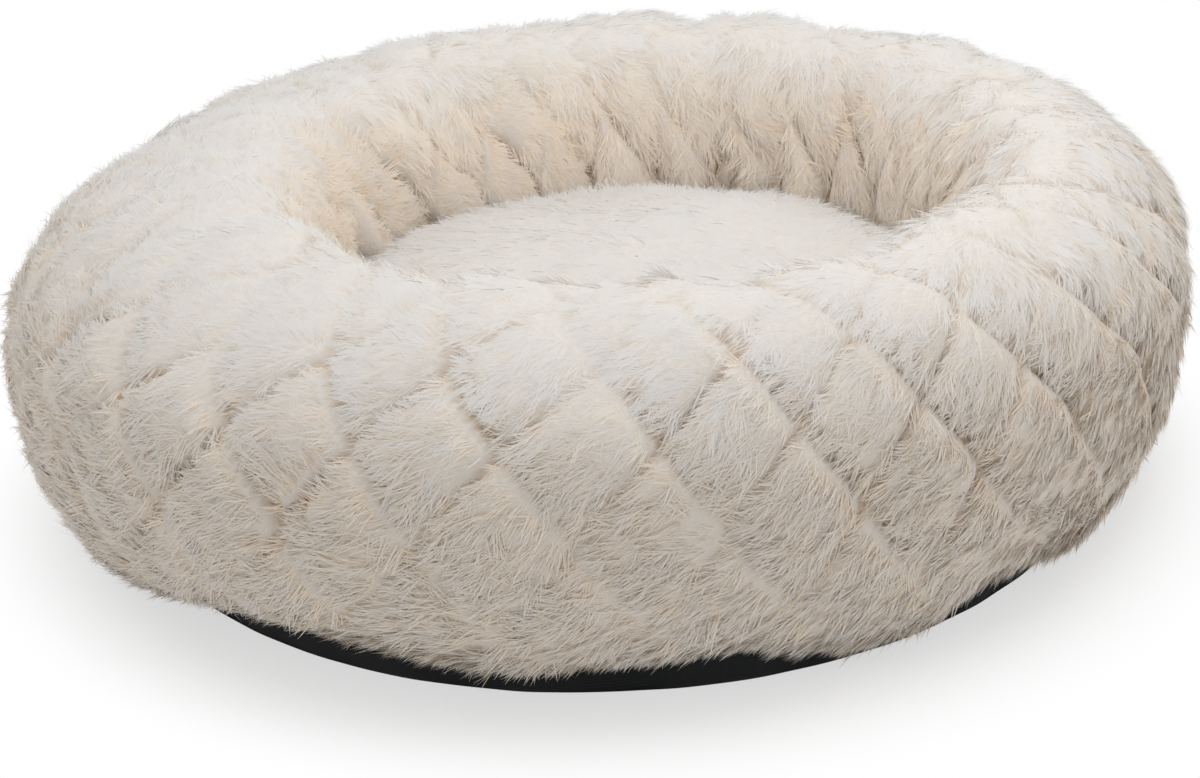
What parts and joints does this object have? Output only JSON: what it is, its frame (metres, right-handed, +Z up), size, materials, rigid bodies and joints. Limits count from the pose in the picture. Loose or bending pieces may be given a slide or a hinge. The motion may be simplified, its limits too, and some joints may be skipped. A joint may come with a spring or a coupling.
{
  "type": "cat bed",
  "caption": "Round cat bed: a stuffed ring of diamond-quilted long-pile fur round a loose domed cushion, on a dark woven base with a zip at the back.",
  "frame": {"origin": "middle of the base on the floor, at the bottom centre of the bounding box", "axes": "+Z up, front towards -Y, +X to the right; the bed is widest along X"},
  "size_m": [0.528, 0.504, 0.1602],
  "materials": {
    "fur": "long-pile ivory faux fur, diamond quilted",
    "wadding": "white polyester fibre",
    "lining": "plain woven cream cotton",
    "base_fabric": "black woven polyester",
    "zip_tape": "black woven tape",
    "zip_teeth": "black moulded nylon",
    "zip_metal": "dark plated, worn at the edges"
  },
  "bodies": {
    "bed": {"ring_cover": "fur", "ring_quilt_wadding": "wadding", "ring_quilt_lining": "lining", "ring_filling": "wadding", "base_panel": "base_fabric", "base_pad": "wadding", "well_floor_panel": "lining", "zip_tape_lower": "zip_tape", "zip_tape_upper": "zip_tape", "zip_teeth_lower": "zip_teeth", "zip_teeth_upper": "zip_teeth", "zip_bottom_stop": "zip_teeth", "zip_top_stop": "zip_teeth"},
    "cushion": {"cushion_cover_top": "fur", "cushion_cover_base": "lining", "cushion_filling": "wadding"},
    "zip_slider": {"zip_slider": "zip_metal"},
    "zip_pull": {"zip_pull": "zip_metal"}
  },
  "joints": [
    {"name": "cushion_lift", "type": "slide", "parent": "bed", "child": "cushion", "axis": [0, 0, 1], "range_m": [0, 0.2]},
    {"name": "zip_slide", "type": "hinge", "parent": "bed", "child": "zip_slider", "pos_m": [0, 0, 0.01102], "axis": [0, 0, -1], "range_deg": [0, 67.6]},
    {"name": "zip_pull_swing", "type": "hinge", "parent": "zip_slider", "child": "zip_pull", "pos_m": [-0.12627, 0.18835, 0.00938], "axis": [-0.16, 0.2387, 0.9578], "range_deg": [0, 150]}
  ]
}
